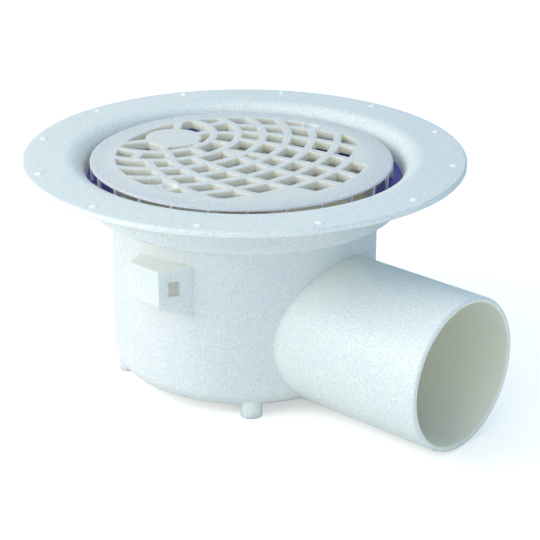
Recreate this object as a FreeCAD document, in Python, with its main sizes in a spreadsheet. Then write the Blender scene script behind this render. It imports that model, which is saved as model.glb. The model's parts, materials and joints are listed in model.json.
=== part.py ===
"""Floor drain: flanged body with side outlet, clamping ring, loose grate and a lift-out water trap.

Millimetres. The origin is on the drain's axis, in the plane of the flange's underside, which lies on
the floor slab. +Z is up and +X runs along the outlet. Every size is a named cell of the sheet.
"""
import FreeCAD, Part
import math
import os
import re

import Sketcher

SIZES = {
    # Flange and dish of the body, outwards from the sump
    "flange_width": 30.5,
    "flange_thickness": 4,
    "flange_edge_round": 1.2,
    "recess_round": 15,
    "dish_slope": 4,
    "dish_shoulder": 13.5,
    "dish_depth": 31.7,
    "dish_edge_round": 2,
    "body_wall": 3.5,
    # Raised pips on the flange
    "pip_count": 12,
    "pip_inset": 9,
    "pip_radius": 3,
    "pip_height": 1.2,
    "pip_start_angle": 1.8,
    # Sump and its feet
    "sump_radius": 97,
    "sump_depth": 160,
    "sump_edge_round": 15,
    "foot_radius": 7.75,
    "foot_inset": 10,
    "foot_drop": 7.5,
    "foot_front_angle": 43.7,
    "foot_rear_angle": 131,
    # Outlet spigot
    "outlet_radius": 55,
    "outlet_wall": 4,
    "outlet_length": 105.8,
    "outlet_inset": 22,
    "outlet_rise": 48.4,
    "outlet_lip_round": 2,
    "outlet_mouth_round": 1.2,
    "outlet_root_length": 12,
    "outlet_root_step": 0.6,
    # Strap lugs
    "lug_shift": 11.6,
    "lug_width": 29.6,
    "lug_flare": 21.5,
    "lug_reach": 17.3,
    "lug_root_depth": 11.3,
    "lug_top_depth": 52.4,
    "lug_face_height": 26,
    "lug_slope_drop": 15,
    "lug_wall": 3,
    "lug_root_wall": 1,
    "lug_window_width": 8.5,
    "lug_window_height": 11,
    "lug_window_inset": 11.2,
    "lug_window_depth": 66.7,
    # Grate
    "grate_gap": 5,
    "grate_depth": 2.5,
    "grate_thickness": 6,
    "grate_rim_width": 18.5,
    "grate_bevel_width": 17.5,
    "grate_bevel_drop": 1,
    "grate_edge_thickness": 1.7,
    "grate_edge_round": 1,
    "grate_turn": 6.3,
    "grate_play": 2.2,
    "grate_play_angle": 223,
    # Lattice of the grate
    "lattice_shift": 3,
    "boss_radius": 20.8,
    "boss_offset": 65.8,
    "boss_spoke_angle": 66,
    "boss_rear_spoke_angle": 122.5,
    "ring_centre": 81.3,
    "first_ring": 42.6,
    "ring_pitch": 18.5,
    "ring_count": 7,
    "ring_bar": 5.8,
    "first_spoke_angle": 14.5,
    "spoke_pitch_angle": 26,
    "spoke_count": 3,
    "axis_near_pole": 18,
    "axis_far_pole": 138,
    "near_pole": 88,
    "far_pole": 195,
    "arc_pitch": 25.2,
    "arc_count": 4,
    "arc_bar": 6.2,
    "end_row_half": 37.8,
    "smallest_opening": 45,
    "screw_point_circle": 85.1,
    "screw_point_radius": 5.5,
    "screw_point_depth": 2,
    "screw_pad_radius": 8,
    # Posts under the grate's rim
    "post_count": 26,
    "post_thickness": 1.5,
    "post_depth": 2.4,
    "post_overlap": 0.6,
    "post_start_angle": -51,
    # Clamping ring
    "ring_seat_gap": 0.3,
    "ring_height": 15.7,
    "ring_foot_width": 5.5,
    "ring_ledge_width": 14,
    "ring_ledge_thickness": 3,
    # Trap insert
    "trap_wall": 3,
    "trap_rim_gap": 0.5,
    "skirt_gap": 1.5,
    "skirt_depth": 20,
    "funnel_drop": 31,
    "dip_tube_radius": 43,
    "tube_floor_gap": 17.5,
    "cup_ring_gap": 19,
    "cup_wall": 2.5,
    "cup_rim_depth": 73,
    "cup_lip": 3.5,
    "cup_edge_round": 8,
    "seal_section": 4,
    "seal_gap": 0.1,
    "seal_drop": 10,
}

doc = FreeCAD.newDocument("FloorDrain")
sheet = doc.addObject("Spreadsheet::Sheet", "Sizes")
for row, (alias, value) in enumerate(SIZES.items(), start=1):
    sheet.set(f"A{row}", alias)
    sheet.set(f"B{row}", str(value))
    sheet.setAlias(f"B{row}", alias)
doc.recompute()

WORDS = re.compile(r"\b(" + "|".join(sorted(SIZES, key=len, reverse=True)) + r")\b")


def bound(text):
    """The expression with each size's name turned into a reference to its cell."""
    return WORDS.sub(r"Sizes.\1", str(text))


def number(text):
    """The expression's value now."""
    return float(sheet.evalExpression(bound(text)))


# Heights that several pieces share, above the flange's underside
FLANGE_TOP = "flange_thickness"
RECESS_LOW = f"({FLANGE_TOP} - recess_round)"
DISH_FLOOR = f"({FLANGE_TOP} - dish_depth)"
SUMP_LOW = f"({FLANGE_TOP} - sump_depth)"
SUMP_FLOOR = f"({SUMP_LOW} + body_wall)"
FEET_LOW = f"({SUMP_LOW} - foot_drop)"
OUTLET_AXIS = f"({SUMP_LOW} + outlet_rise)"
GRATE_TOP = f"({FLANGE_TOP} - grate_depth)"
RING_TOP = f"({DISH_FLOOR} + ring_height)"
TRAP_TOP = f"({DISH_FLOOR} + trap_wall)"
CUP_RIM = f"({FLANGE_TOP} - cup_rim_depth)"

# Radii that several pieces share, each from the one inside it
THROAT = "(sump_radius - body_wall)"
DISH_RADIUS = "(sump_radius + dish_shoulder)"
RECESS_RADIUS = f"({DISH_RADIUS} + dish_slope)"
RECESS_EDGE = f"({RECESS_RADIUS} + recess_round)"
FLANGE_RADIUS = f"({RECESS_EDGE} + flange_width)"
OUTLET_END = "(sump_radius + outlet_length)"
GRATE_RADIUS = f"({RECESS_RADIUS} - grate_gap)"
LATTICE_RADIUS = f"({GRATE_RADIUS} - grate_rim_width)"
CUP_RADIUS = "(dip_tube_radius + cup_ring_gap + cup_wall)"


def bind(obj, **places):
    """Bind properties to expressions; a double underscore stands for the dot of a path."""
    for path, text in places.items():
        obj.setExpression(path.replace("__", "."), bound(text))
    return obj


def primitive(kind, name, at=("0", "0", "0"), axis=None, **sizes):
    """A Part primitive with its sizes and its place bound to the sheet."""
    obj = doc.addObject(f"Part::{kind}", name)
    if axis:
        obj.Placement.Rotation = FreeCAD.Rotation(FreeCAD.Vector(*axis), 90)
    bind(obj, **sizes)
    for letter, text in zip("xyz", at):
        obj.setExpression(f"Placement.Base.{letter}", bound(text))
    return obj


def joined(kind, name, *pieces):
    """A boolean of two or more objects."""
    obj = doc.addObject(f"Part::{kind}", name)
    if kind == "Cut":
        obj.Base, obj.Tool = pieces
    else:
        obj.Shapes = list(pieces)
    return obj


# How a sketch counts the points of an arc
CENTRE_POINT = ("edge", "start", "end", "centre").index("centre")


def outline(sketch, corners):
    """Draw a closed outline whose corners, and the centre of any arc to the next corner, follow the sheet.

    A corner is (x, y), or (x, y, centre_x) where an arc runs to the next corner.
    """
    spots = [FreeCAD.Vector(number(c[0]), number(c[1]), 0) for c in corners]
    count = len(corners)
    ends = []
    for i, corner in enumerate(corners):
        start = spots[i]
        end = spots[(i + 1) % count]
        if len(corner) == 2:
            sketch.addGeometry(Part.LineSegment(start, end), False)
            ends.append((1, 2))
            continue
        chord = end - start
        middle = (start + end) * 0.5
        centre_x = number(corner[2])
        centre = FreeCAD.Vector(centre_x, middle.y - (centre_x - middle.x) * chord.x / chord.y, 0)
        radius = centre.distanceToPoint(start)
        through = centre + (middle - centre).normalize() * radius
        # A sketch counts the ends of an arc anticlockwise.
        anticlockwise = chord.cross(through - start).z < 0
        if anticlockwise:
            sketch.addGeometry(Part.Arc(start, through, end), False)
            ends.append((1, 2))
        else:
            sketch.addGeometry(Part.Arc(end, through, start), False)
            ends.append((2, 1))
    for i, corner in enumerate(corners):
        after = (i + 1) % count
        sketch.addConstraint(Sketcher.Constraint("Coincident", i, ends[i][1], after, ends[after][0]))
        places = [("DistanceX", corner[0], ends[i][0], -2), ("DistanceY", corner[1], ends[i][0], -1)]
        if len(corner) == 3:
            places.append(("DistanceX", corner[2], CENTRE_POINT, -2))
        for kind, text, point, axis in places:
            if str(text) == "0":
                sketch.addConstraint(Sketcher.Constraint("PointOnObject", i, point, axis))
                continue
            index = sketch.addConstraint(Sketcher.Constraint(kind, i, point, number(text)))
            sketch.setExpression(f"Constraints[{index}]", bound(text))


def origin_plane(body, role):
    """One of a body's own origin planes."""
    return next(f for f in body.Origin.OriginFeatures if f.Role == role)


def turned(name, corners):
    """A body revolved around Z from an outline of (radius, height)."""
    body = doc.addObject("PartDesign::Body", name)
    sketch = body.newObject("Sketcher::SketchObject", f"{name}Outline")
    sketch.AttachmentSupport = [(origin_plane(body, "XZ_Plane"), "")]
    sketch.MapMode = "FlatFace"
    outline(sketch, corners)
    doc.recompute()
    turn = body.newObject("PartDesign::Revolution", f"{name}Turn")
    turn.Profile = sketch
    turn.ReferenceAxis = (sketch, ["V_Axis"])
    turn.Angle = 360
    body.Tip = turn
    return body


def slab(name, plane, corners, thickness):
    """A body padded evenly to both sides of an origin plane."""
    body = doc.addObject("PartDesign::Body", name)
    sketch = body.newObject("Sketcher::SketchObject", f"{name}Outline")
    sketch.AttachmentSupport = [(origin_plane(body, plane), "")]
    sketch.MapMode = "FlatFace"
    outline(sketch, corners)
    doc.recompute()
    pad = body.newObject("PartDesign::Pad", f"{name}Pad")
    pad.Profile = sketch
    pad.SideType = "Symmetric"
    bind(pad, Length=thickness)
    body.Tip = pad
    return body


def spun(body, angle):
    """Turn a body about Z."""
    body.Placement.Rotation = FreeCAD.Rotation(FreeCAD.Vector(0, 0, 1), 1)
    return bind(body, Placement__Rotation__Angle=angle)


def around(radius, angle):
    """The x and y of a place on a circle around Z."""
    return f"({radius}) * cos({angle})", f"({radius}) * sin({angle})"


def drain_body():
    """The white moulding: flange, dish, sump, outlet, lugs, feet and pips."""
    dish_low = f"({DISH_FLOOR} - body_wall)"
    dish_outside = f"({DISH_RADIUS} + body_wall)"
    outer = turned("BodyOuter", [
        ("0", SUMP_LOW),
        ("sump_radius - sump_edge_round", SUMP_LOW, "sump_radius - sump_edge_round"),
        ("sump_radius", f"{SUMP_LOW} + sump_edge_round"),
        ("sump_radius", dish_low),
        (f"{dish_outside} - dish_edge_round", dish_low, f"{dish_outside} - dish_edge_round"),
        (dish_outside, f"{dish_low} + dish_edge_round"),
        (f"{RECESS_RADIUS} + flange_thickness", RECESS_LOW, RECESS_EDGE),
        (RECESS_EDGE, "0"),
        (FLANGE_RADIUS, "0"),
        (FLANGE_RADIUS, f"{FLANGE_TOP} - flange_edge_round", f"{FLANGE_RADIUS} - flange_edge_round"),
        (f"{FLANGE_RADIUS} - flange_edge_round", FLANGE_TOP),
        ("0", FLANGE_TOP),
    ])
    inner_round = "(sump_edge_round - body_wall)"
    above = f"({FLANGE_TOP} + flange_thickness)"
    hollow = turned("BodyHollow", [
        ("0", SUMP_FLOOR),
        (f"{THROAT} - {inner_round}", SUMP_FLOOR, f"{THROAT} - {inner_round}"),
        (THROAT, f"{SUMP_FLOOR} + {inner_round}"),
        (THROAT, DISH_FLOOR),
        (DISH_RADIUS, DISH_FLOOR),
        (RECESS_RADIUS, RECESS_LOW, RECESS_EDGE),
        (RECESS_EDGE, FLANGE_TOP),
        (RECESS_EDGE, above),
        ("0", above),
    ])
    solid = joined("MultiFuse", "BodySolid", outer, spigot(), *feet(), *lugs())
    opened = joined("Cut", "BodyOpen", solid, hollow)
    bored = joined("Cut", "BodyBored", opened, joined("MultiFuse", "BodyCuts", bore(), *lug_cuts()))
    return joined("MultiFuse", "BodyWhole", bored, *pips())


def along_outlet(body):
    """Lay a turned body along the outlet, with its heights measured from the drain's axis."""
    body.Placement.Rotation = FreeCAD.Rotation(FreeCAD.Vector(0, 1, 0), 90)
    return bind(body, Placement__Base__z=OUTLET_AXIS)


def spigot():
    """The outlet: a straight tube with a slightly flared root and a rounded lip."""
    start = "(sump_radius - outlet_inset)"
    straight_end = f"({OUTLET_END} - outlet_lip_round)"
    lip = "(outlet_radius - outlet_lip_round)"
    return along_outlet(turned("Spigot", [
        ("0", start),
        ("outlet_radius + outlet_root_step", start),
        ("outlet_radius", "sump_radius + outlet_root_length"),
        ("outlet_radius", straight_end, lip),
        (lip, OUTLET_END),
        ("0", OUTLET_END),
    ]))


def bore():
    """The outlet's inside, from within the sump to past its rounded mouth."""
    start = "(sump_radius - outlet_inset + outlet_wall)"
    inside = "(outlet_radius - outlet_wall)"
    mouth = f"({inside} + outlet_mouth_round)"
    past = f"({OUTLET_END} + outlet_inset)"
    return along_outlet(turned("SpigotBore", [
        ("0", start),
        (inside, start),
        (inside, f"{OUTLET_END} - outlet_mouth_round", mouth),
        (mouth, OUTLET_END),
        (mouth, past),
        ("0", past),
    ]))


def feet():
    """Four round feet that run up into the rounded edge of the sump."""
    found = []
    for name, angle in (("Front", "foot_front_angle"), ("Rear", "foot_rear_angle")):
        for side in (1, -1):
            x, y = around("sump_radius - foot_inset", f"{side} * {angle}")
            found.append(primitive("Cylinder", f"Foot{name}{'Left' if side > 0 else 'Right'}",
                                   at=(x, y, FEET_LOW), Radius="foot_radius",
                                   Height="foot_drop + sump_edge_round"))
    return found


SIDES = (("Near", -1), ("Far", 1))
LUG_TOP = f"({FLANGE_TOP} - lug_top_depth)"
LUG_FACE = "(sump_radius + lug_reach)"


def lug_block(name, side, root, inset, low_face, low_root):
    """What is common to a lug's plan, which widens towards the sump, and its side view."""
    face = f"({LUG_FACE} - {inset})"
    half_face = f"(lug_width / 2 - {inset})"
    half_root = f"({half_face} + ({face} - {root}) * tan(lug_flare))"
    plan = slab(f"{name}Plan", "XY_Plane", [
        (f"lug_shift - {half_face}", f"{side} * {face}"),
        (f"lug_shift + {half_face}", f"{side} * {face}"),
        (f"lug_shift + {half_root}", f"{side} * {root}"),
        (f"lug_shift - {half_root}", f"{side} * {root}"),
    ], "2 * sump_depth")
    profile = slab(f"{name}Side", "YZ_Plane", [
        (f"{side} * {root}", f"{LUG_TOP} - {inset}"),
        (f"{side} * {face}", f"{LUG_TOP} - {inset}"),
        (f"{side} * {face}", low_face),
        (f"{side} * {root}", low_root),
    ], "2 * sump_radius")
    return joined("MultiCommon", name, plan, profile)


def lugs():
    """The two strap lugs beside the sump, still solid, with a sloping underside."""
    face_low = f"({LUG_TOP} - lug_face_height)"
    return [lug_block(f"Lug{name}", side, "(sump_radius - lug_root_depth)", "0", face_low,
                      f"({face_low} - lug_slope_drop)")
            for name, side in SIDES]


def lug_cuts():
    """What is open in the lugs: each is a box without an underside, with a window in both cheeks."""
    below = f"({LUG_TOP} - lug_face_height - 2 * lug_slope_drop)"
    cuts = []
    for name, side in SIDES:
        cuts.append(lug_block(f"LugHollow{name}", side, "(sump_radius + lug_root_wall)", "lug_wall",
                              below, below))
        cuts.append(primitive("Box", f"LugWindow{name}",
                              at=("lug_shift - 2 * lug_width",
                                  f"{side} * ({LUG_FACE} - lug_window_inset) - lug_window_width / 2",
                                  f"{FLANGE_TOP} - lug_window_depth - lug_window_height / 2"),
                              Length="4 * lug_width", Width="lug_window_width", Height="lug_window_height"))
    return cuts


def pips():
    """Low domes on the flange, evenly spaced."""
    ball = "((pip_radius ^ 2 + pip_height ^ 2) / (2 * pip_height))"
    found = []
    for i in range(int(number("pip_count"))):
        x, y = around(f"{FLANGE_RADIUS} - pip_inset", f"pip_start_angle + {i} * 360 / pip_count")
        found.append(primitive("Sphere", f"Pip{i}", at=(x, y, f"{FLANGE_TOP} + pip_height - {ball}"),
                               Radius=ball, Angle1=f"asin(({ball} - pip_height) / {ball})"))
    return found


GRATE_LOW = f"({GRATE_TOP} - grate_thickness)"


def grate():
    """The loose grate: a bevelled plate with a curved lattice, standing on posts under its rim."""
    bevel = f"({GRATE_RADIUS} - grate_bevel_width)"
    edge_top = f"({GRATE_TOP} - grate_bevel_drop)"
    edge_low = f"({edge_top} - grate_edge_thickness)"
    plate = turned("GratePlate", [
        ("0", GRATE_LOW),
        (bevel, GRATE_LOW),
        (f"{bevel} + grate_thickness", edge_low),
        (GRATE_RADIUS, edge_low),
        (GRATE_RADIUS, f"{edge_top} - grate_edge_round", f"{GRATE_RADIUS} - grate_edge_round"),
        (f"{GRATE_RADIUS} - grate_edge_round", edge_top),
        (bevel, GRATE_TOP),
        ("0", GRATE_TOP),
    ])
    solid = joined("MultiFuse", "GrateSolid", plate, *posts(edge_low))
    cuts = doc.addObject("Part::Feature", "GrateCuts")
    tool = openings()
    points = screw_points()
    doc.recompute()
    # A cell that the lattice's edge trims to a crumb stays closed, and so do the end row's corners.
    smallest = number("smallest_opening * grate_thickness")
    cells = [cell for cell in tool.Shape.Solids if cell.Volume > smallest and not in_end_corner(cell)]
    cuts.Shape = Part.makeCompound(cells + [p.Shape for p in points])
    whole = joined("Cut", "GrateWhole", solid, cuts)
    whole.Placement.Rotation = FreeCAD.Rotation(FreeCAD.Vector(0, 0, 1), 1)
    x, y = around("grate_play", "grate_play_angle")
    return bind(whole, Placement__Base__x=x, Placement__Base__y=y, Placement__Rotation__Angle="grate_turn")


def in_end_corner(cell):
    """Whether a cell lies outside the last ring and off to the side."""
    spot = cell.CenterOfMass - FreeCAD.Vector(number(RING_AT), number(LATTICE_AXIS), 0)
    outside = math.hypot(spot.x, spot.y) > number("first_ring + (ring_count - 1) * ring_pitch")
    return outside and abs(spot.y) > number("end_row_half")


def posts(plate_low):
    """Small posts under the edge of the rim; they stand on the clamping ring."""
    return [bar_at(f"Post{i}", ("0", "0"), f"({GRATE_RADIUS} - post_depth)", "post_depth", "post_thickness",
                   f"(post_start_angle + {i} * 360 / post_count)", RING_TOP,
                   f"{plate_low} + post_overlap - {RING_TOP}")
            for i in range(int(number("post_count")))]


def bar_at(name, centre, start, length, width, angle, low, height):
    """A straight bar that points away from a centre, from a start radius."""
    x, y = around(start, angle)
    aside_x, aside_y = around(f"{width} / 2", f"{angle} - 90")
    bar = primitive("Box", name, at=(f"{centre[0]} + {x} + {aside_x}", f"{centre[1]} + {y} + {aside_y}", low),
                    Length=length, Width=width, Height=height)
    return spun(bar, angle)


# The lattice's tools stand above and below the plate.
TOOL_LOW = f"({GRATE_LOW} - grate_thickness)"
TOOL_HEIGHT = "3 * grate_thickness"
LATTICE_AXIS = "lattice_shift"
RING_AT = "-ring_centre"
BOSS_AT = "-boss_offset"
SECOND_RING = "(first_ring + ring_pitch)"


def disc(name, x, y, radius):
    """An upright tool on a circle."""
    return primitive("Cylinder", name, at=(x, y, TOOL_LOW), Radius=radius, Height=TOOL_HEIGHT)


def hoop(name, x, y, radius, width):
    """An upright ring of bar on a circle."""
    outside = disc(f"{name}Outside", x, y, f"{radius} + {width} / 2")
    inside = disc(f"{name}Inside", x, y, f"{radius} - {width} / 2")
    return joined("Cut", name, outside, inside)


def openings():
    """The lattice's openings: the round field less its rings, spokes, arcs, boss and screw pads."""
    bars = [hoop(f"Ring{i}", RING_AT, LATTICE_AXIS, f"(first_ring + {i} * ring_pitch)", "ring_bar")
            for i in range(int(number("ring_count")))]
    bars += boss_spokes()
    bars += ring_spokes()
    bars += [arcs(name, side) for name, side in SIDES]
    bars.append(disc("Boss", BOSS_AT, LATTICE_AXIS, "boss_radius"))
    for name, side in SIDES:
        bars.append(disc(f"ScrewPad{name}", "0", screw_point_at(side), "screw_pad_radius"))
    field = disc("LatticeField", "0", "0", LATTICE_RADIUS)
    return joined("Cut", "LatticeOpenings", field, joined("MultiFuse", "LatticeBars", *bars))


def boss_spokes():
    """Short spokes from the boss to the first ring."""
    inside = disc("FirstRingField", RING_AT, LATTICE_AXIS, "first_ring")
    angles = {"Axis": "0"}
    for name, side in SIDES:
        angles[f"Front{name}"] = f"{side} * boss_spoke_angle"
        angles[f"Rear{name}"] = f"{side} * boss_rear_spoke_angle"
    spokes = [bar_at(f"BossSpoke{name}", (BOSS_AT, LATTICE_AXIS), "0", "first_ring", "arc_bar",
                     f"({angle})", TOOL_LOW, TOOL_HEIGHT)
              for name, angle in angles.items()]
    return [joined("MultiCommon", "BossSpokes", joined("MultiFuse", "BossSpokeBars", *spokes), inside)]


def ring_spokes():
    """Spokes between the first and the second ring."""
    found = []
    for name, side in SIDES:
        for i in range(int(number("spoke_count"))):
            found.append(bar_at(f"RingSpoke{name}{i}", (RING_AT, LATTICE_AXIS), "first_ring", "ring_pitch",
                                "arc_bar", f"({side} * (first_spoke_angle + {i} * spoke_pitch_angle))",
                                TOOL_LOW, TOOL_HEIGHT))
    return found


def arcs(name, side):
    """Arc bars on one side of the axis, outside the second ring, with evenly spaced crowns.

    Each runs through two poles on the axis. The innermost has poles of its own, so the two innermost
    arcs meet near the second ring.
    """
    rings = []
    for i in range(int(number("arc_count"))):
        near, far = ("near_pole", "far_pole") if i else ("axis_near_pole", "axis_far_pole")
        half = f"(({near} + {far}) / 2)"
        crown = f"(({i} + 0.5) * arc_pitch)"
        radius = f"(({half} ^ 2 + {crown} ^ 2) / (2 * {crown}))"
        rings.append(hoop(f"Arc{name}{i}", f"{half} - {near}",
                          f"{LATTICE_AXIS} + {side} * ({crown} - {radius})", radius, "arc_bar"))
    reach = f"(2 * {LATTICE_RADIUS})"
    low_y = LATTICE_AXIS if side > 0 else f"{LATTICE_AXIS} - {reach}"
    half_field = primitive("Box", f"ArcField{name}", at=(f"-{reach}", low_y, TOOL_LOW), Length=f"2 * {reach}",
                           Width=reach, Height=TOOL_HEIGHT)
    inside = disc(f"ArcInside{name}", RING_AT, LATTICE_AXIS, SECOND_RING)
    kept = joined("Cut", f"ArcHalf{name}", half_field, inside)
    return joined("MultiCommon", f"Arcs{name}", joined("MultiFuse", f"ArcRings{name}", *rings), kept)


def screw_point_at(side):
    """How far a screw point lies to the side."""
    return f"{LATTICE_AXIS} + {side} * screw_point_circle"


def screw_points():
    """Two closed countersinks opposite each other, where a screw may be drilled through."""
    return [primitive("Cone", f"ScrewPoint{name}", Radius1="screw_point_radius - screw_point_depth",
                      Radius2="screw_point_radius", Height="screw_point_depth",
                      at=("0", screw_point_at(side), f"{GRATE_TOP} - screw_point_depth"))
            for name, side in SIDES]


def clamping_ring():
    """The ring that is pressed into the cone of the dish and carries the grate on its ledge."""
    slope = "(dish_slope / (dish_depth - recess_round))"
    foot = f"({DISH_RADIUS} - ring_seat_gap)"
    top = f"({foot} + {slope} * ring_height)"
    ledge_low = f"({RING_TOP} - ring_ledge_thickness)"
    return turned("ClampRing", [
        (f"{foot} - ring_foot_width", DISH_FLOOR),
        (foot, DISH_FLOOR),
        (top, RING_TOP),
        (f"{top} - ring_ledge_width", RING_TOP),
        (f"{top} - ring_ledge_width", ledge_low),
        (f"{foot} - ring_foot_width", ledge_low),
    ])


CUP_LOW = SUMP_FLOOR


def trap_funnel():
    """The funnel: its rim lies on the dish's ledge, its skirt is in the throat, its dip tube in the cup."""
    rim = f"({DISH_RADIUS} - ring_seat_gap - ring_foot_width - trap_rim_gap)"
    skirt = f"({THROAT} - skirt_gap)"
    skirt_low = f"({DISH_FLOOR} - skirt_depth)"
    groove = f"({DISH_FLOOR} - seal_drop)"
    groove_floor = f"({THROAT} - seal_gap - seal_section)"
    half_seal = "(seal_section / 2 + seal_gap)"
    tube_top = f"({DISH_FLOOR} - funnel_drop)"
    tube_low = f"({CUP_LOW} + cup_wall + tube_floor_gap)"
    tube_inside = "(dip_tube_radius - trap_wall)"
    inner_skirt = f"({groove_floor} - trap_wall)"
    return turned("Funnel", [
        (inner_skirt, TRAP_TOP),
        (rim, TRAP_TOP),
        (rim, DISH_FLOOR),
        (skirt, DISH_FLOOR),
        (skirt, f"{groove} + {half_seal}"),
        (groove_floor, f"{groove} + {half_seal}"),
        (groove_floor, f"{groove} - {half_seal}"),
        (skirt, f"{groove} - {half_seal}"),
        (skirt, skirt_low),
        (inner_skirt, skirt_low),
        ("dip_tube_radius", tube_top),
        ("dip_tube_radius", tube_low),
        (tube_inside, tube_low),
        (tube_inside, f"{tube_top} + trap_wall"),
        (inner_skirt, f"{skirt_low} + trap_wall"),
    ])


def trap_cup():
    """The cup that stands on the sump's floor around the dip tube; its rim sets the water level."""
    lip_low = f"({CUP_RIM} - cup_wall)"
    cup_corner = f"({CUP_RADIUS} - cup_edge_round)"
    return turned("Cup", [
        ("0", CUP_LOW),
        (cup_corner, CUP_LOW, cup_corner),
        (CUP_RADIUS, f"{CUP_LOW} + cup_edge_round"),
        (CUP_RADIUS, lip_low),
        (f"{CUP_RADIUS} + cup_lip", lip_low),
        (f"{CUP_RADIUS} + cup_lip", CUP_RIM),
        (f"{CUP_RADIUS} - cup_wall", CUP_RIM),
        (f"{CUP_RADIUS} - cup_wall", f"{CUP_LOW} + cup_edge_round", cup_corner),
        (cup_corner, f"{CUP_LOW} + cup_wall"),
        ("0", f"{CUP_LOW} + cup_wall"),
    ])


def throat_o_ring():
    """The rubber ring in the skirt's groove, against the throat of the sump."""
    return primitive("Torus", "SealRing", at=("0", "0", f"{DISH_FLOOR} - seal_drop"),
                     Radius1=f"{THROAT} - seal_gap - seal_section / 2", Radius2="seal_section / 2")


PIECES = {
    "drain_body": drain_body,
    "grate": grate,
    "clamping_ring": clamping_ring,
    "trap_funnel": trap_funnel,
    "trap_cup": trap_cup,
    "throat_o_ring": throat_o_ring,
}


def main():
    made = {}
    for label, make in PIECES.items():
        made[label] = make()
        made[label].Label = label
    doc.recompute()
    failed = [o.Name for o in doc.Objects if {"Invalid", "Error"} & set(o.State)]
    if failed:
        raise RuntimeError(f"not built: {failed}")
    for label, obj in made.items():
        if obj.Shape.isNull() or not obj.Shape.isValid() or not obj.Shape.Solids:
            raise RuntimeError(f"{label} has no valid shape")
    os.makedirs("parts", exist_ok=True)
    for label, obj in made.items():
        obj.Shape.exportStep(os.path.join("parts", f"{label}.step"))
        box = obj.Shape.BoundBox
        print(f"{label}: {len(obj.Shape.Solids)} solid, {obj.Shape.Volume / 1000:.1f} cm3, "
              f"z {box.ZMin:.2f} to {box.ZMax:.2f}")


main()
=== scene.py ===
# %% [markdown]
# # A floor drain in moulded plastic
# This lesson dresses a floor drain with a round grate and a side outlet. Its solids come from the
# CAD model, already in their places, in metres, with the origin on the drain's axis at the flange's
# underside. Nothing on the drain is soft, so no solid is swapped for a Blender mesh. The work is in
# the finishes, the light and the view.

# %% Load the frame
import json
import math

import bpy
from mathutils import Matrix, Vector


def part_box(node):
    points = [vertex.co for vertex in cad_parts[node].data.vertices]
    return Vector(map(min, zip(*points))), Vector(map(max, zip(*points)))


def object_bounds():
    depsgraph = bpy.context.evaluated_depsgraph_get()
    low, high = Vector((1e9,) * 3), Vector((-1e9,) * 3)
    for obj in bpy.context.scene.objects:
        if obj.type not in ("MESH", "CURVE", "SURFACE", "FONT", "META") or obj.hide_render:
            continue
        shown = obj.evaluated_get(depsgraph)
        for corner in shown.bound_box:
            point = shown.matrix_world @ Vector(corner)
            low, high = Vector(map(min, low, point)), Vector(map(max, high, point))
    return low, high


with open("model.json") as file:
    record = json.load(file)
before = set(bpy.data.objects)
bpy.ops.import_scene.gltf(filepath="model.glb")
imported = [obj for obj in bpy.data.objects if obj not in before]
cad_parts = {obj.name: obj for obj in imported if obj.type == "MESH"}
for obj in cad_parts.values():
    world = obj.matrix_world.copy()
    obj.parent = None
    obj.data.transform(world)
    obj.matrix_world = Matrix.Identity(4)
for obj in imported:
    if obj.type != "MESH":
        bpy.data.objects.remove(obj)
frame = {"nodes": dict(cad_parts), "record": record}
cad_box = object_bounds()
print("pieces:", ", ".join(sorted(frame["nodes"])))

# %% [markdown]
# ## The camera
# The drain is seen from a little above the flange, with the outlet coming forward to the right. A
# camera can be turned by angles, or aimed at a point. Aiming is easier to check: one point says where
# the lens is, the other what it looks at, and a small roll sets the horizon. The lamps further down
# are aimed in the same way, so the turn has a function of its own.

# %% Place the camera
LENS_AT = Vector((0.8155, -0.8703, 0.4048))
LOOK_AT = Vector((0.01373, 0.01287, -0.08808))
CAMERA_ROLL = math.radians(0.38)
FOCAL_LENGTH = 115.86
SENSOR_WIDTH = 36.0


def facing(at, target):
    """The turn that points a camera or a lamp from one place at another."""
    return (Vector(target) - Vector(at)).to_track_quat("-Z", "Y")


lens = bpy.data.cameras.new("photo_camera")
lens.sensor_fit = "HORIZONTAL"
lens.sensor_width = SENSOR_WIDTH
lens.lens = FOCAL_LENGTH
camera = bpy.data.objects.new("photo_camera", lens)
bpy.context.scene.collection.objects.link(camera)
aim = facing(LENS_AT, LOOK_AT).to_matrix().to_4x4()
camera.matrix_world = Matrix.Translation(LENS_AT) @ aim @ Matrix.Rotation(CAMERA_ROLL, 4, "Z")
bpy.context.scene.camera = camera
print("camera stands", round((LOOK_AT - LENS_AT).length, 3), "m from what it looks at")

# %% [markdown]
# ## Short words for node work
# A material is a tree of nodes. It can be clicked together by hand or written out link by link, but
# both hide what the tree says. A few small helpers keep the cells below readable: each adds one node,
# fills its sockets with a value or a link, and hands back what the node puts out.


# %% Helpers that add a node
def fill(tree, socket, value):
    """Link a socket to another one, or set it to a plain value."""
    if isinstance(value, bpy.types.NodeSocket):
        tree.links.new(value, socket)
    else:
        socket.default_value = value


def add(tree, kind, settings=None, **sockets):
    """A new node with its settings and its named inputs. A _ in a name stands for a space."""
    node = tree.nodes.new(kind)
    for name, value in (settings or {}).items():
        setattr(node, name, value)
    for name, value in sockets.items():
        fill(tree, node.inputs[name.replace("_", " ")], value)
    return node


print("node helpers are ready")


# %% Helpers that work something out
VALUE_OPERATIONS = ("DOT_PRODUCT", "LENGTH")


def math_node(tree, operation, first, second=0.0, clamp=False):
    """A sum, product or comparison of two values."""
    node = add(tree, "ShaderNodeMath", {"operation": operation, "use_clamp": clamp})
    fill(tree, node.inputs[0], first)
    fill(tree, node.inputs[1], second)
    return node.outputs[0]


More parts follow.
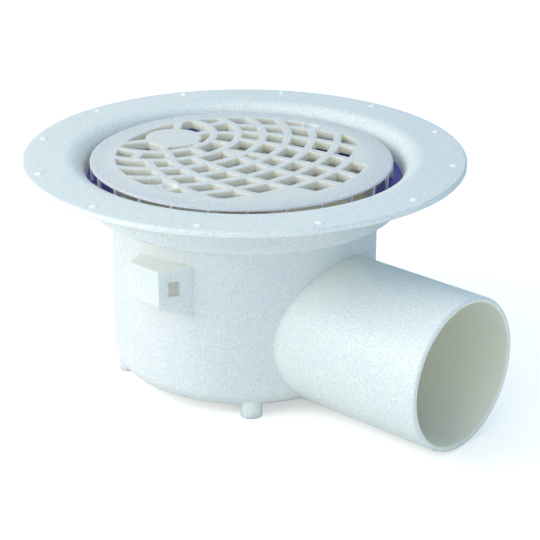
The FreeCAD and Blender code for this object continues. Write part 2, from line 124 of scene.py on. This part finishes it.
def vector_node(tree, operation, *vectors):
    """The same for vectors. Some operations give a vector, others a value."""
    node = add(tree, "ShaderNodeVectorMath", {"operation": operation})
    for socket, vector in zip(node.inputs, vectors):
        fill(tree, socket, vector)
    return node.outputs["Value" if operation in VALUE_OPERATIONS else "Vector"]


def ramp(tree, value, span, low=0.0, high=1.0):
    """A value that runs from low to high while another runs through its span."""
    start, end = span
    node = add(tree, "ShaderNodeMapRange", Value=value, From_Min=start, From_Max=end, To_Min=low, To_Max=high)
    return node.outputs["Result"]


def mix_colours(tree, share, first, second):
    """The first colour where the share is 0, the second where it is 1."""
    node = add(tree, "ShaderNodeMix", {"data_type": "RGBA"}, Factor=share)
    in_first, in_second = [socket for socket in node.inputs if socket.type == "RGBA"]
    fill(tree, in_first, first)
    fill(tree, in_second, second)
    return next(socket for socket in node.outputs if socket.type == "RGBA")


print("helpers for values, vectors and colours are ready")

# %% [markdown]
# ## Groups with named sockets
# An effect that several finishes share is a node group: built once, and placed in each material with
# its own values. This helper starts one with its sockets named and gives back both ends of it.

# %% A helper that starts a group
FLOAT = "NodeSocketFloat"
VECTOR = "NodeSocketVector"


def new_group(name, inputs, outputs):
    """An empty group, the sockets that it is given and the sockets that it puts out."""
    group = bpy.data.node_groups.new(name, "ShaderNodeTree")
    for title, kind, value in inputs:
        socket = group.interface.new_socket(title, in_out="INPUT", socket_type=kind)
        socket.default_value = value
    for title, kind in outputs:
        group.interface.new_socket(title, in_out="OUTPUT", socket_type=kind)
    return group, group.nodes.new("NodeGroupInput").outputs, group.nodes.new("NodeGroupOutput").inputs


print("groups can be started")

# %% [markdown]
# ## Eased edges
# A moulded edge is never razor sharp: the tool leaves a small radius, and that radius catches a thin
# line of light. Rounding every edge of the mesh would change the solids. The Bevel node rounds only
# the shading normal, and where it departs from the true normal it also tells where the edges are.
# The recipe below also paints a paler tint there, a painted highlight along the edges.

# %% The eased edge group
BEVEL_SAMPLES = 6
EDGE_GAIN = 4.0


def eased_edge_group():
    group, given, put = new_group(
        "eased_edges",
        [("Radius", FLOAT, 0.001)],
        [("Normal", VECTOR), ("Edge", FLOAT)],
    )
    bevel = add(group, "ShaderNodeBevel", {"samples": BEVEL_SAMPLES}, Radius=given["Radius"])
    rounded = bevel.outputs["Normal"]
    flat = add(group, "ShaderNodeNewGeometry").outputs["Normal"]
    turned_away = math_node(group, "SUBTRACT", 1.0, vector_node(group, "DOT_PRODUCT", rounded, flat))
    fill(group, put["Normal"], rounded)
    fill(group, put["Edge"], math_node(group, "MULTIPLY", turned_away, EDGE_GAIN, clamp=True))
    return group


EASED_EDGES = eased_edge_group()
print("group", EASED_EDGES.name, "gives a rounded normal and an edge mask")

# %% [markdown]
# ## Moulded grain
# The tool's walls are lightly etched, so the plastic has a fine grain without sparkle. One noise could
# do, but it looks like sand. Two are used: a coarse one for the etch and a finer one for its pores. The
# group gives a height for the bump and a speckle that tints the colour a little.

# %% The grain group
ETCH_DETAIL = 3.0
PORES_PER_GRAIN = 2.7
PORE_DEPTH = 0.5
SPECKLE_SPAN = (0.35, 0.65)


def grain_group():
    group, given, put = new_group(
        "moulded_grain",
        [("Grains per metre", FLOAT, 700.0)],
        [("Height", FLOAT), ("Speckle", FLOAT)],
    )
    place = add(group, "ShaderNodeTexCoord").outputs["Object"]
    coarse = given["Grains per metre"]
    etch = add(group, "ShaderNodeTexNoise", Vector=place, Scale=coarse, Detail=ETCH_DETAIL).outputs["Fac"]
    finer = math_node(group, "MULTIPLY", coarse, PORES_PER_GRAIN)
    pores = add(group, "ShaderNodeTexVoronoi", Vector=place, Scale=finer).outputs["Distance"]
    fill(group, put["Height"], math_node(group, "ADD", etch, math_node(group, "MULTIPLY", pores, PORE_DEPTH)))
    fill(group, put["Speckle"], ramp(group, etch, SPECKLE_SPAN))
    return group


MOULDED_GRAIN = grain_group()
print("group", MOULDED_GRAIN.name, "gives a height and a speckle")

# %% [markdown]
# ## Flow clouds
# Melted plastic freezes as it flows, and leaves soft cloudy bands in its tint and gloss. Painting them
# along the real flow would need a map of the mould. A large, slightly warped noise is enough, and each
# material decides how strongly it shows.

# %% The flow cloud group
CLOUD_DETAIL = 4.0
CLOUD_WARP = 0.8
CLOUD_SPAN = (0.3, 0.7)


def flow_group():
    group, given, put = new_group(
        "flow_clouds",
        [("Clouds per metre", FLOAT, 14.0)],
        [("Cloud", FLOAT)],
    )
    clouds = add(
        group,
        "ShaderNodeTexNoise",
        Vector=add(group, "ShaderNodeTexCoord").outputs["Object"],
        Scale=given["Clouds per metre"],
        Detail=CLOUD_DETAIL,
        Distortion=CLOUD_WARP,
    )
    fill(group, put["Cloud"], ramp(group, clouds.outputs["Fac"], CLOUD_SPAN))
    return group


FLOW_CLOUDS = flow_group()
print("group", FLOW_CLOUDS.name, "gives a soft cloud mask")

# %% [markdown]
# ## Painted light and shade in hollows
# White plastic lets light in, so corners and insides look warm rather than grey. Light that wanders
# inside the wall is part of the recipe below, but it doesn't reach far enough into narrow places. An
# ambient occlusion node finds those hollows, and the material paints a second tint into them: in the
# whites a paler, warmer tint that paints the light coming through the wall, in the ring, trap and seal
# a darker one, painted shade.

# %% The hollow group
HOLLOW_SAMPLES = 8


def hollow_group():
    group, given, put = new_group(
        "hollows",
        [("Reach", FLOAT, 0.06)],
        [("Hollow", FLOAT)],
    )
    own_shape = {"samples": HOLLOW_SAMPLES, "only_local": True}
    openness = add(group, "ShaderNodeAmbientOcclusion", own_shape, Distance=given["Reach"]).outputs["AO"]
    fill(group, put["Hollow"], math_node(group, "SUBTRACT", 1.0, openness, clamp=True))
    return group


HOLLOWS = hollow_group()
print("group", HOLLOWS.name, "gives a mask of corners and insides")

# %% [markdown]
# ## One recipe for moulded plastic
# The drain's pieces are moulded in different colours but in the same way, so one function builds the
# material and each piece hands in its own tints, gloss and grain. The glow is how much of the light
# goes into the wall and comes out a few millimetres further on: more than half in the thin whites,
# none in the deep violet.

# %% The plastic recipe
GRAIN_HEIGHT = 0.0002
GLOW_REACH = 0.010
GLOW_REACH_BY_COLOUR = (1.0, 0.9, 0.6)
WHOLE_SPAN = (0.0, 1.0)


def use(tree, group, **sockets):
    """Place a group in a material with its own values."""
    return add(tree, "ShaderNodeGroup", {"node_tree": group}, **sockets).outputs


def moulded_plastic(
    name,
    tint,
    cloud_tint,
    speckle_tint,
    painted_hollow_tint,
    hollow_reach,
    painted_edge_highlight,
    edge_radius,
    gloss,
    grain,
    grain_bump,
    glow,
):
    material = bpy.data.materials.new(name)
    material.use_nodes = True
    tree = material.node_tree
    shader = tree.nodes["Principled BSDF"].inputs
    edges = use(tree, EASED_EDGES, Radius=edge_radius)
    etch = use(tree, MOULDED_GRAIN, Grains_per_metre=grain)
    clouds = use(tree, FLOW_CLOUDS)
    hollows = use(tree, HOLLOWS, Reach=hollow_reach)

    colour = mix_colours(tree, clouds["Cloud"], tint, cloud_tint)
    colour = mix_colours(tree, etch["Speckle"], colour, speckle_tint)
    # Painted light and shade: the hollows get a painted tint, a warm glow in the whites and shade in the
    # darker pieces.
    colour = mix_colours(tree, hollows["Hollow"], colour, painted_hollow_tint)
    # Painted highlight: a paler tint along the edges.
    colour = mix_colours(tree, edges["Edge"], colour, painted_edge_highlight)
    fill(tree, shader["Base Color"], colour)
    fill(tree, shader["Roughness"], ramp(tree, clouds["Cloud"], WHOLE_SPAN, *gloss))

    bump = add(tree, "ShaderNodeBump", Height=etch["Height"], Normal=edges["Normal"])
    bump.inputs["Strength"].default_value = grain_bump
    bump.inputs["Distance"].default_value = GRAIN_HEIGHT
    fill(tree, shader["Normal"], bump.outputs["Normal"])

    shader["Subsurface Weight"].default_value = glow
    shader["Subsurface Radius"].default_value = GLOW_REACH_BY_COLOUR
    shader["Subsurface Scale"].default_value = GLOW_REACH
    return material


print("the plastic recipe is ready")

# %% [markdown]
# ## Two whites
# Body and grate are both white, but not the same white: the body leans to a cool blue, and the grate
# is a shade warmer. Its openings look warmer still because light comes through the plastic, and that
# warmth is painted into the hollows. A paler tint on the edges of both is a painted highlight. One
# white for both would make them look like one moulding, so each has its own tints.

# %% Mix the whites
FINISHES = {
    "body_white": moulded_plastic(
        "body_white_plastic",
        tint=(0.82, 0.87, 0.88, 1.0),
        cloud_tint=(0.845, 0.895, 0.90, 1.0),
        speckle_tint=(0.66, 0.725, 0.755, 1.0),
        painted_hollow_tint=(0.90, 0.92, 0.84, 1.0),
        hollow_reach=0.045,
        painted_edge_highlight=(0.84, 0.90, 0.93, 1.0),
        edge_radius=0.0012,
        gloss=(0.36, 0.48),
        grain=700.0,
        grain_bump=0.25,
        glow=0.6,
    ),
    "grate_white": moulded_plastic(
        "grate_white_plastic",
        tint=(0.86, 0.88, 0.865, 1.0),
        cloud_tint=(0.88, 0.90, 0.88, 1.0),
        speckle_tint=(0.69, 0.715, 0.70, 1.0),
        painted_hollow_tint=(0.97, 0.89, 0.72, 1.0),
        hollow_reach=0.06,
        painted_edge_highlight=(0.86, 0.89, 0.91, 1.0),
        edge_radius=0.0009,
        gloss=(0.34, 0.46),
        grain=800.0,
        grain_bump=0.22,
        glow=0.6,
    ),
}
print("whites:", ", ".join(FINISHES))

# %% [markdown]
# ## Ring, trap and seal
# The clamping ring is deep violet. The trap under the grate is a warm grey, and its seal is black
# rubber. They lie in the shade and show through narrow gaps, so they need colour more than glow. Their
# hollows get a darker tint, painted shade, and their edges a paler one, a painted highlight.

# %% Mix the colours of the inner pieces
FINISHES["ring_violet"] = moulded_plastic(
    "ring_violet_plastic",
    tint=(0.042, 0.022, 0.44, 1.0),
    cloud_tint=(0.055, 0.032, 0.48, 1.0),
    speckle_tint=(0.036, 0.018, 0.37, 1.0),
    painted_hollow_tint=(0.010, 0.007, 0.08, 1.0),
    hollow_reach=0.06,
    painted_edge_highlight=(0.12, 0.10, 0.56, 1.0),
    edge_radius=0.0008,
    gloss=(0.30, 0.42),
    grain=700.0,
    grain_bump=0.18,
    glow=0.0,
)
FINISHES["trap_grey"] = moulded_plastic(
    "trap_grey_plastic",
    tint=(0.74, 0.70, 0.58, 1.0),
    cloud_tint=(0.78, 0.74, 0.62, 1.0),
    speckle_tint=(0.70, 0.66, 0.55, 1.0),
    painted_hollow_tint=(0.70, 0.64, 0.50, 1.0),
    hollow_reach=0.06,
    painted_edge_highlight=(0.80, 0.77, 0.68, 1.0),
    edge_radius=0.0008,
    gloss=(0.42, 0.55),
    grain=600.0,
    grain_bump=0.25,
    glow=0.0,
)
FINISHES["seal_rubber"] = moulded_plastic(
    "seal_black_rubber",
    tint=(0.020, 0.020, 0.021, 1.0),
    cloud_tint=(0.030, 0.030, 0.031, 1.0),
    speckle_tint=(0.016, 0.016, 0.017, 1.0),
    painted_hollow_tint=(0.012, 0.012, 0.013, 1.0),
    hollow_reach=0.02,
    painted_edge_highlight=(0.045, 0.045, 0.046, 1.0),
    edge_radius=0.0004,
    gloss=(0.55, 0.70),
    grain=1500.0,
    grain_bump=0.35,
    glow=0.0,
)
print("finishes:", ", ".join(FINISHES))

# %% [markdown]
# ## Painted light in the bore, on the pips and inside the lugs
# Three places on the body get painted light. Light comes through the wall of the outlet, so its bore
# is paler and warmer than a shaded tube would be, and it comes through the thin strap lugs too: both
# are painted in as paler tints. The pips catch highlights that make them look brighter than the flange
# that they stand on, and a near-white tint paints those highlights. The faces could be picked one by
# one and given materials of their own, but all three places can be told from where a point lies: near
# the outlet's axis, above the flange, or in a box inside a lug. So a mask from the place of the shaded
# point is enough, and the painted tint is mixed in where the mask is 1.


# %% Painted light by place
def mount(name):
    """What the record says of one of the drain's mounts."""
    return next(entry for entry in frame["record"]["mounts"] if entry["name"] == name)


def shaded_point(tree):
    """The place of the point that is being shaded, in metres."""
    return add(tree, "ShaderNodeTexCoord").outputs["Object"]


def paint_light_where(material, mask, tint):
    """Mix a painted light tint into a finish where the mask is 1."""
    tree = material.node_tree
    base = tree.nodes["Principled BSDF"].inputs["Base Color"]
    fill(tree, base, mix_colours(tree, mask(tree), base.links[0].from_socket, tint))


# %% Paint light into the bore
MM_IN_A_METRE = 1000
OUTLET_HEIGHT = mount("outlet_spigot")["pos_m"][2]
OUTLET_RADIUS = mount("outlet_spigot")["dims"]["r_mm"] / MM_IN_A_METRE
OUTLET_WALL = 0.004
# A paler, warmer painted light for the bore, where light comes through the outlet's wall.
BORE_PAINTED_LIGHT = (0.95, 0.94, 0.81, 1.0)


def bore_mask(tree):
    """1 within the middle of the outlet's wall, on the outlet's side of the drain."""
    place = shaded_point(tree)
    from_axis = vector_node(tree, "MULTIPLY_ADD", place, (0.0, 1.0, 1.0), (0.0, 0.0, -OUTLET_HEIGHT))
    away = vector_node(tree, "LENGTH", from_axis)
    inside = math_node(tree, "LESS_THAN", away, OUTLET_RADIUS - OUTLET_WALL / 2)
    along = add(tree, "ShaderNodeSeparateXYZ", Vector=place).outputs["X"]
    return math_node(tree, "MULTIPLY", inside, math_node(tree, "GREATER_THAN", along, 0.0))


paint_light_where(FINISHES["body_white"], bore_mask, BORE_PAINTED_LIGHT)
print("the bore lies within", OUTLET_RADIUS, "m of the outlet's axis")

# %% Paint highlights on the pips
PIP_HEIGHT = 0.0012
FLANGE_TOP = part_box("drain_body")[1][2] - PIP_HEIGHT
PIP_FADE = (0.1, 0.6)
PIP_SPAN = [FLANGE_TOP + share * PIP_HEIGHT for share in PIP_FADE]
# A near-white painted highlight on the pips.
PIP_PAINTED_HIGHLIGHT = (0.98, 0.99, 1.0, 1.0)


def pip_mask(tree):
    """Rises from 0 to 1 up the side of a pip."""
    height = add(tree, "ShaderNodeSeparateXYZ", Vector=shaded_point(tree)).outputs["Z"]
    return ramp(tree, height, PIP_SPAN)


paint_light_where(FINISHES["body_white"], pip_mask, PIP_PAINTED_HIGHLIGHT)
print("the pips rise above", round(FLANGE_TOP, 4), "m")

# %% Paint light inside the lugs
WINDOW_AT = mount("strap_window_far")["pos_m"]
LUG_INSIDE = (0.0145, 0.0095, 0.0130)
# A paler painted light inside the lugs, where light comes through their thin walls.
LUG_PAINTED_LIGHT = (0.99, 0.99, 0.97, 1.0)


def lug_mask(tree):
    """1 in a box around the strap windows, folded over so that it is in both lugs."""
    across, out, up = WINDOW_AT
    place = shaded_point(tree)
    for centre in ((across, 0.0, up), (0.0, out, 0.0)):
        place = vector_node(tree, "ABSOLUTE", vector_node(tree, "SUBTRACT", place, centre))
    shares = add(tree, "ShaderNodeSeparateXYZ", Vector=vector_node(tree, "DIVIDE", place, LUG_INSIDE)).outputs
    furthest = math_node(tree, "MAXIMUM", math_node(tree, "MAXIMUM", shares["X"], shares["Y"]), shares["Z"])
    return math_node(tree, "LESS_THAN", furthest, 1.0)


paint_light_where(FINISHES["body_white"], lug_mask, LUG_PAINTED_LIGHT)
print("the lugs' windows are", round(WINDOW_AT[1], 4), "m to either side")

# %% [markdown]
# ## Dress the pieces
# Each solid keeps its place and its mesh and only changes its material. A table says which piece wears
# which finish, so that a piece without one would be easy to see.

# %% Give each piece its finish
PIECE_FINISH = {
    "drain_body": "body_white",
    "grate": "grate_white",
    "clamping_ring": "ring_violet",
    "trap_funnel": "trap_grey",
    "trap_cup": "trap_grey",
    "throat_o_ring": "seal_rubber",
}
for piece, finish in PIECE_FINISH.items():
    mesh = frame["nodes"][piece].data
    mesh.materials.clear()
    mesh.materials.append(FINISHES[finish])
    print(piece, "wears", FINISHES[finish].name, "on", len(mesh.polygons), "faces")

# %% [markdown]
# ## The floor
# The drain stands on its four feet on white paper. Paper that is bright enough to look pure white would
# need so much light that the drain burns out. So the floor glows a little, but only to the camera: the
# drain itself gets no light from that glow, and its soft shadow stays.

# %% Lay the floor
FLOOR_HALF = 4.0
FLOOR_CORNERS = ((-1, -1), (1, -1), (1, 1), (-1, 1))
FEET_PLANE = cad_box[0][2]
FLOOR_GLOW = 0.46
FLOOR_TINT = (0.83, 0.84, 0.82, 1.0)
FLOOR_ROUGHNESS = 0.9
WHITE = (1.0, 1.0, 1.0, 1.0)

floor_mesh = bpy.data.meshes.new("floor")
floor_mesh.from_pydata(
    [(x * FLOOR_HALF, y * FLOOR_HALF, FEET_PLANE) for x, y in FLOOR_CORNERS],
    [],
    [(0, 1, 2, 3)],
)
floor = bpy.data.objects.new("floor", floor_mesh)
bpy.context.scene.collection.objects.link(floor)
pale = bpy.data.materials.new("pale_floor")
pale.use_nodes = True
paper = pale.node_tree.nodes["Principled BSDF"].inputs
paper["Base Color"].default_value = FLOOR_TINT
paper["Roughness"].default_value = FLOOR_ROUGHNESS
paper["Emission Color"].default_value = WHITE
ray = add(pale.node_tree, "ShaderNodeLightPath").outputs["Is Camera Ray"]
fill(pale.node_tree, paper["Emission Strength"], math_node(pale.node_tree, "MULTIPLY", ray, FLOOR_GLOW))
floor_mesh.materials.append(pale)
print("floor lies at", round(FEET_PLANE, 4), "m")

# %% [markdown]
# ## Soft boxes and ceiling
# The light is that of a small studio. A large warm soft box stands close by on the left and shapes the
# body, and a weaker one looks into the outlet from the right. A bright ceiling lights the flange: a sun
# lamp with a very wide angle does that evenly, where an area lamp would fall off. All are hidden from
# the camera, so that no other view shows a lamp.

# %% Hang the lamps
DRAIN_MIDDLE = (0.0, 0.0, -0.06)
SOFT_BOXES = {
    "left_box": {"at": (-0.55, -0.88, 0.36), "width": 0.9, "watts": 6.1, "colour": (1.0, 0.94, 0.88)},
    "right_box": {"at": (1.25, -0.75, 0.25), "width": 0.8, "watts": 3.0, "colour": (1.0, 0.98, 0.90)},
}
CEILING_AT = (-0.7, -0.9, 1.8)
CEILING_STRENGTH = 1.05
CEILING_ANGLE = math.radians(90)
CEILING_COLOUR = (1.0, 0.98, 0.95)


def hang(name, lamp, at):
    holder = bpy.data.objects.new(name, lamp)
    bpy.context.scene.collection.objects.link(holder)
    holder.location = at
    holder.rotation_euler = facing(at, DRAIN_MIDDLE).to_euler()
    holder.visible_camera = False
    print(name, "hangs at", at)


def soft_box(name, at, width, watts, colour):
    lamp = bpy.data.lights.new(name, "AREA")
    lamp.shape = "DISK"
    lamp.size = width
    lamp.energy = watts
    lamp.color = colour
    hang(name, lamp, at)


for name, box in SOFT_BOXES.items():
    soft_box(name, **box)
ceiling = bpy.data.lights.new("ceiling", "SUN")
ceiling.energy = CEILING_STRENGTH
ceiling.angle = CEILING_ANGLE
ceiling.color = CEILING_COLOUR
hang("ceiling", ceiling, CEILING_AT)

# %% [markdown]
# ## The sky
# A bluish sky fills the shadows and turns to a deeper blue behind on the right, which draws the blue
# edges there. One plain colour would leave those edges grey. A camera that looks straight into the sky
# sees a white backdrop, so that low views have no blue band above the floor. The Standard view
# transform keeps white paper white.

# %% Fill with a pale sky
SKY_STRENGTH = 0.60
DEEP_SIDE = (0.62, 0.78, 0.0)
DEEP_SPAN = (-0.1, 0.7)
PALE_SKY = (0.76, 0.90, 0.95, 1.0)
DEEP_SKY = (0.34, 0.62, 0.92, 1.0)
BACKDROP = (1.0 / SKY_STRENGTH, 1.0 / SKY_STRENGTH, 1.0 / SKY_STRENGTH, 1.0)

world = bpy.data.worlds.new("studio")
world.use_nodes = True
sky = world.node_tree
direction = add(sky, "ShaderNodeTexCoord").outputs["Generated"]
turn = ramp(sky, vector_node(sky, "DOT_PRODUCT", direction, DEEP_SIDE), DEEP_SPAN)
sky_tint = mix_colours(sky, turn, PALE_SKY, DEEP_SKY)
straight = add(sky, "ShaderNodeLightPath").outputs["Is Camera Ray"]
background = sky.nodes["Background"].inputs
fill(sky, background["Color"], mix_colours(sky, straight, sky_tint, BACKDROP))
background["Strength"].default_value = SKY_STRENGTH
bpy.context.scene.world = world
bpy.context.scene.view_settings.view_transform = "Standard"
print("the sky's own light is", SKY_STRENGTH)
